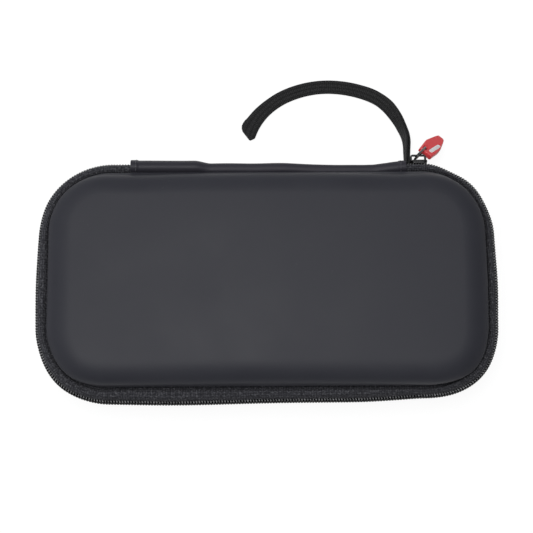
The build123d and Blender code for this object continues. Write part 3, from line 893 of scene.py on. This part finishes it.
makeBinding("lidBinding", "lid_binding", "lid", bindingForm, lidRim, 1)
makeBinding("baseBinding", "base_binding", "base", bindingForm, baseRim, -1)


# Net pocket in the lid: two sets of crossing yarns inside the rim, with a gathered elastic hem at the mouth
netForm = {"mouth": -38.0, "out": rimRadius - 4.0, "spacing": 4.4, "slant": 58.0, "yarn": 0.62, "flat": 0.4,
           "height": 2.35,
           "hemWide": 6.8, "hemThick": 1.0, "gather": 3.2, "gatherDepth": 0.16}


def insideNet(x, y, form):
    # true inside the rounded rectangle of the net and behind its mouth
    dx = np.maximum(np.abs(x) - coreX, 0)
    dy = np.maximum(np.abs(y) - coreY, 0)
    return (np.hypot(dx, dy) < form["out"]) & (y > form["mouth"] - 1.0)


def makeYarns(form, way):
    # parallel wavy lines cut to the net's outline, each a flattened square tube
    slant = math.radians(form["slant"]) * way
    ahead = np.array([math.cos(slant), math.sin(slant)])
    sideways = np.array([-ahead[1], ahead[0]])
    offsets = np.arange(-150, 150, form["spacing"])
    t = np.linspace(-170, 170, 1361)
    spots = offsets[:, None, None] * sideways + t[None, :, None] * ahead
    within = insideNet(spots[..., 0], spots[..., 1], form)
    keep = within.sum(1) > 12
    offsets, within = offsets[keep], within[keep]
    enter = t[np.argmax(within, 1)]
    leave = t[len(t) - 1 - np.argmax(within[:, ::-1], 1)]
    share = np.linspace(0, 1, 56)
    t = enter[:, None] + (leave - enter)[:, None] * share
    bend = offsets[:, None] + 0.3 * np.sin(2 * math.pi * t / (form["spacing"] * 1.09))
    flat = bend[..., None] * sideways + t[..., None] * ahead
    height = lidRim + form["height"] + 0.1 * way * np.cos(2 * math.pi * t / (form["spacing"] * 1.09))
    turn = np.radians([0, 90, 180, 270])
    ring = flat[:, :, None] + sideways * (form["yarn"] / 2 * np.cos(turn))[None, None, :, None]
    rise = height[:, :, None] + form["flat"] / 2 * np.sin(turn)[None, None]
    grid = np.concatenate([ring, rise[..., None]], -1)
    girth = np.arange(4) * 0.4
    return [gridSurface(strand, closedV=True, caps="ends", u=share * 100, v=girth) for strand in grid]


def makeHem(form):
    # flat rounded bar across the mouth, with gathers as waves along it
    half = math.sqrt(form["out"] ** 2 - (-form["mouth"] + form["hemWide"] - coreY) ** 2) + coreX - 0.4
    x = np.linspace(-half, half, 420)
    bar = roundBar(form["hemWide"], form["hemThick"], 0.42, 5)
    wave = form["gatherDepth"] * np.sin(2 * math.pi * x / form["gather"] + 0.8 * np.sin(x / 19))
    y = form["mouth"] - form["hemWide"] / 2 + bar[None, :, 0] + 0 * x[:, None]
    ruffle = wave[:, None] * (0.4 + 0.6 * np.abs(bar[None, :, 0]) / form["hemWide"])
    z = lidRim + form["height"] + 0.25 + bar[None, :, 1] + ruffle
    grid = np.stack([np.broadcast_to(x[:, None], y.shape), y, z], -1)
    return gridSurface(grid, closedV=True, caps="ends", u=x - x[0], v=runLength(bar))


net = addPiece("pocketNet", makeYarns(netForm, 1) + makeYarns(netForm, -1), [netYarn], sharp=80)
dress(net, "lid", ["mesh_pocket"])
pocketHem = addPiece("pocketHem", [makeHem(netForm)], [elasticCloth])
dress(pocketHem, "lid", ["pocket_hem"])


# Slider: two pillowed plates joined by a post, turned-in flanges, and the arch that holds the link
sliderForm = {"length": 10.0, "height": 9.6, "plate": 1.1, "outer": flare + 0.3, "inner": flare - 3.7,
              "flange": 0.8,
              "archLong": 9.4,
              "archTall": 4.1, "archBar": 0.8, "archLeg": 1.1, "post": 0.6}


def pillow(centre, half, boxiness, steps=(28, 14)):
    # superellipsoid: signed powers of cosine and sine, so that it is a box with soft edges
    power = lambda value: np.sign(value) * np.abs(value) ** boxiness
    turn = np.linspace(0, 2 * math.pi, steps[0], endpoint=False)[:, None]
    tilt = np.linspace(-math.pi / 2, math.pi / 2, steps[1])[None, 1:-1]
    x = half[0] * power(np.cos(tilt)) * power(np.cos(turn))
    z = half[2] * power(np.cos(tilt)) * power(np.sin(turn))
    y = half[1] * power(np.sin(tilt)) * np.ones_like(turn)
    return gridSurface(np.stack([x, y, z], -1) + np.array(centre), closedU=True, caps="poles")


def makeSlider(form):
    place = np.array([coreX, coreY + rimRadius, zipHeight])
    half = (form["length"] / 2, form["plate"] / 2, form["height"] / 2)
    parts = [pillow(place + (0, form["outer"] + half[1], 0), half, 0.3),
             pillow(place + (0, form["inner"] - half[1], 0), half, 0.3)]
    for way in (1, -1):
        parts.append(pillow(place + (0, form["outer"] - 0.5, way * (half[2] - form["flange"] / 2)),
                            (half[0] - 1.6, 0.6, form["flange"] / 2), 0.3))
    middle = (form["outer"] + form["inner"]) / 2
    postHalf = (1.2, middle - form["inner"] + 0.4, form["post"] / 2)
    parts.append(pillow(place + (postHalf[0] + 1.6 - half[0], middle, 0), postHalf, 0.3))
    face = form["outer"] + form["plate"]
    foot, top = face - 0.3, face + form["archTall"] - form["archBar"] / 2
    reach = (form["archLong"] - form["archLeg"]) / 2
    rise = bezierPoints((-reach, foot), (-reach, top - 0.6), (-reach, top), (-reach + 1.0, top), 12)
    arch = np.concatenate([rise, rise[::-1] * (-1, 1)])
    path = np.stack([arch[:, 0], arch[:, 1], np.zeros(len(arch))], -1) + place
    along = unit(np.gradient(path, axis=0))
    thin = np.cross(along, (0, 0, 1.0))
    bar = roundBar(2.3, form["archBar"], 0.3, 4)
    stout = form["archLeg"] / form["archBar"] - 1
    # legs stouter than the bar
    spread = 1 + stout * (1 - smoothStep(arch[:, 1], top - 1.4, top - 0.2))[:, None, None]
    wide = np.array([0, 0, 1.0]) * bar[None, :, :1]
    grid = path[:, None] + wide + thin[:, None] * bar[None, :, 1:] * spread
    parts.append(gridSurface(grid, closedV=True, caps="ends"))
    slider = addPiece("sliderBody", parts, [sliderEnamel], sharp=60)
    dress(slider, "slider", ["slider_body"])


makeSlider(sliderForm)


# Pull: a wire link through the arch, a soft six-sided tab and the pale bar on its face
pullForm = {
    "heading": 50.0, "droop": 35.5, "eyeOut": flare + 5.1,
    "wire": 1.2, "linkWide": 5.2, "linkBend": 1.5, "behind": 2.8, "ahead": 8.2,
    "tabLong": 21.0, "tabNear": 8.8, "tabWide": 10.6, "tabTip": 4.6, "tabShoulder": 10.0, "tabThick": 3.4,
    "tabEdge": 0.95,
    "hole": 1.5, "holeSet": 2.8, "holeOffset": 2.0,
    "barLong": 10.6, "barWide": 2.4, "barSet": 7.6, "barOffset": 2.2, "barSlant": -7.0,
    "barProud": 0.25, "barDeep": 0.8,
}


def pullAxes(form):
    # along the pull, across it on the level, and up out of the tab's face
    heading, droop = math.radians(form["heading"]), math.radians(form["droop"])
    ahead = np.array([math.cos(heading), math.sin(heading), 0])
    along = ahead * math.cos(droop) - np.array([0, 0, math.sin(droop)])
    across = np.array([-math.sin(heading), math.cos(heading), 0])
    eye = np.array([coreX, coreY + rimRadius + form["eyeOut"], zipHeight])
    return eye, along, across, np.cross(along, across)


def makeLink(form):
    # round wire carried round a rounded rectangle that stands on edge in the arch
    eye, along, across, up = pullAxes(form)
    bend, half = form["linkBend"], form["linkWide"] / 2
    corners = [((form["ahead"] - bend, half - bend), 0), ((bend - form["behind"], half - bend), 90),
               ((bend - form["behind"], bend - half), 180), ((form["ahead"] - bend, bend - half), 270)]
    flat = np.concatenate([arcPoints(place, bend, turn, turn + 90, 9) for place, turn in corners])
    path = eye + flat[:, :1] * along + flat[:, 1:] * up
    tube = tubeAlong(path, form["wire"] / 2, 14, True, across)
    link = addPiece("pullLink", [gridSurface(tube, True, True)], [linkGloss])
    dress(link, "link", ["pull_link"])


def outlineReach(corners, turn):
    # distance from the origin to a convex outline in each direction: its nearest side line, corners eased
    sides = np.roll(corners, -1, 0) - corners
    normal = unit(np.stack([sides[:, 1], -sides[:, 0]], -1))
    away = np.sum(normal * corners, -1)
    facing = normal @ np.stack([np.cos(turn), np.sin(turn)])
    nearness = np.clip(facing, 0, None) / away[:, None]
    return np.sum(nearness ** 22, 0) ** (-1 / 22)


def makeTab(form):
    # from the hole over the face, round the edge, back under and up through the hole: a ring with no poles
    eye, along, across, up = pullAxes(form)
    hole = eye + along * form["ahead"]
    right = [(0, -form["tabNear"] / 2), (form["tabShoulder"], -form["tabWide"] / 2),
             (form["tabLong"], -form["tabTip"] / 2)]
    corners = np.array(right + [(x, -y) for x, y in right[::-1]]) - (form["holeSet"], form["holeOffset"])
    turn = np.linspace(0, 2 * math.pi, 160, endpoint=False)
    reach = outlineReach(corners, turn)
    edge, half = form["tabEdge"], form["tabThick"] / 2
    face = np.linspace(0, 1, 12)
    soft = arcPoints((-edge, half - edge), edge, 90, 0, 6)
    inset = np.concatenate([np.full(12, -edge), soft[1:, 0], soft[::-1, 0], np.full(11, -edge)])
    height = np.concatenate([np.full(12, half), soft[1:, 1], -soft[::-1, 1], np.full(11, -half)])
    share = np.concatenate([face, np.ones(11), face[::-1][1:]])
    lip = 0.3 * (1 - smoothStep(share * 12, 0, 1.6))  # the hole's rim is eased
    radius = form["hole"] + share[None] * (reach[:, None] + inset[None] - form["hole"])
    rise = height - lip * np.sign(height)
    flatX, flatY = radius * np.cos(turn)[:, None], radius * np.sin(turn)[:, None]
    grid = hole + flatX[..., None] * along + flatY[..., None] * across + rise[None, :, None] * up
    tab = addPiece("pullTab", [gridSurface(grid, closedU=True, closedV=True)], [tabRubber], sharp=50)
    dress(tab, "tab", ["pull_tab"])


def makeBar(form):
    # slot outline with a softened top edge, standing a little proud of the tab's face
    eye, along, across, up = pullAxes(form)
    middle = form["ahead"] - form["holeSet"] + form["barSet"]
    sideways = form["barOffset"] + form["holeOffset"]
    half = form["barLong"] / 2 - form["barWide"] / 2
    rounds = [arcPoints((half, 0), 1.0, -90, 90, 12), arcPoints((-half, 0), 1.0, 90, 270, 12)]
    outline = np.concatenate(rounds)
    centre = np.repeat([[half, 0], [-half, 0]], 12, 0)
    top, bottom = form["tabThick"] / 2 + form["barProud"], form["tabThick"] / 2 - form["barDeep"]
    rows = [(0.15, top), (0.8, top), (1.05, top - 0.04), (form["barWide"] / 2, top - 0.22),
            (form["barWide"] / 2, bottom), (0.15, bottom)]
    rings = [centre + (outline - centre) * radius for radius, _ in rows]
    slant = math.radians(form["barSlant"])
    turn = np.array([[math.cos(slant), math.sin(slant)], [-math.sin(slant), math.cos(slant)]])
    flat = np.stack(rings, 1) @ turn
    rise = np.array([height for _, height in rows])
    level = (middle + flat[..., :1]) * along + (flat[..., 1:] - sideways) * across
    grid = eye + level + rise[None, :, None] * up
    bar = addPiece("tabBar", [gridSurface(grid, closedU=True, caps="poles")], [inlayWhite], sharp=35)
    dress(bar, "tab", ["pull_inlay"])


makeLink(pullForm)
makeTab(pullForm)
makeBar(pullForm)


# Plain pale floor, white to the camera, and soft studio light
studio = {"floor": 30.0, "floorWhite": 0.8, "keyPower": 13.0, "fillPower": 1.2, "skyFrom": (-0.8, 0.6, 0.0),
          "skyLow": 0.04, "skyHigh": 0.42}


def addStudio(form):
    scene = bpy.context.scene
    scene.view_settings.view_transform = "Standard"
    world = bpy.data.worlds.new("studioWorld")
    scene.world = world
    world.use_nodes = True
    tree = world.node_tree
    tree.nodes.clear()
    out = tree.nodes.new("ShaderNodeOutputWorld")
    around = addNode(tree, "ShaderNodeTexCoord").outputs["Generated"]
    sides = {0: around, 1: form["skyFrom"]}
    facing = addNode(tree, "ShaderNodeVectorMath", sides, operation="DOT_PRODUCT").outputs["Value"]
    lit = between(tree, ramp(tree, facing, -1.0, 1.0), form["skyLow"], form["skyHigh"])
    sky = addNode(tree, "ShaderNodeBackground", {"Color": (0.92, 0.95, 1, 1), "Strength": lit})
    tree.links.new(sky.outputs[0], out.inputs["Surface"])
    size = form["floor"] / 2
    mesh = bpy.data.meshes.new("floor")
    corners = [(-size, -size, 0), (size, -size, 0), (size, size, 0), (-size, size, 0)]
    mesh.from_pydata(corners, [], [(0, 1, 2, 3)])
    floor = bpy.data.objects.new("floor", mesh)
    scene.collection.objects.link(floor)
    material = bpy.data.materials.new("paleFloor")
    material.use_nodes = True
    tree = material.node_tree
    tree.nodes.clear()
    out = tree.nodes.new("ShaderNodeOutputMaterial")
    plain = addNode(tree, "ShaderNodeBsdfDiffuse", {"Color": (form["floorWhite"],) * 3 + (1,)})
    faint = addNode(tree, "ShaderNodeBsdfDiffuse", {"Color": (0.12, 0.12, 0.12, 1)})
    glow = addNode(tree, "ShaderNodeEmission", {"Color": (1, 1, 1, 1), "Strength": 0.93})
    seen = addNode(tree, "ShaderNodeAddShader", {0: faint.outputs[0], 1: glow.outputs[0]})
    rays = tree.nodes.new("ShaderNodeLightPath").outputs
    mirrored = calc(tree, "MAXIMUM", rays["Is Glossy Ray"], rays["Is Transmission Ray"])
    direct = calc(tree, "MAXIMUM", rays["Is Camera Ray"], mirrored)
    mix = addNode(tree, "ShaderNodeMixShader", {0: direct, 1: plain.outputs[0], 2: seen.outputs[0]})
    tree.links.new(mix.outputs[0], out.inputs["Surface"])
    mesh.materials.append(material)
    lights = [("key", (-0.16, 0.05, 1.5), form["keyPower"], (0.85, 0.65)),
              ("fill", (-1.1, 0.3, 1.0), form["fillPower"], (0.8, 0.8))]
    for label, place, power, sides in lights:
        lamp = bpy.data.lights.new(label, "AREA")
        lamp.shape = "RECTANGLE"
        lamp.energy = power
        lamp.size, lamp.size_y = sides
        holder = bpy.data.objects.new(label, lamp)
        holder.location = place
        holder.rotation_euler = (Vector((0, 0, 0.02)) - Vector(place)).to_track_quat("-Z", "Y").to_euler()
        scene.collection.objects.link(holder)


addStudio(studio)

print("scene ready")
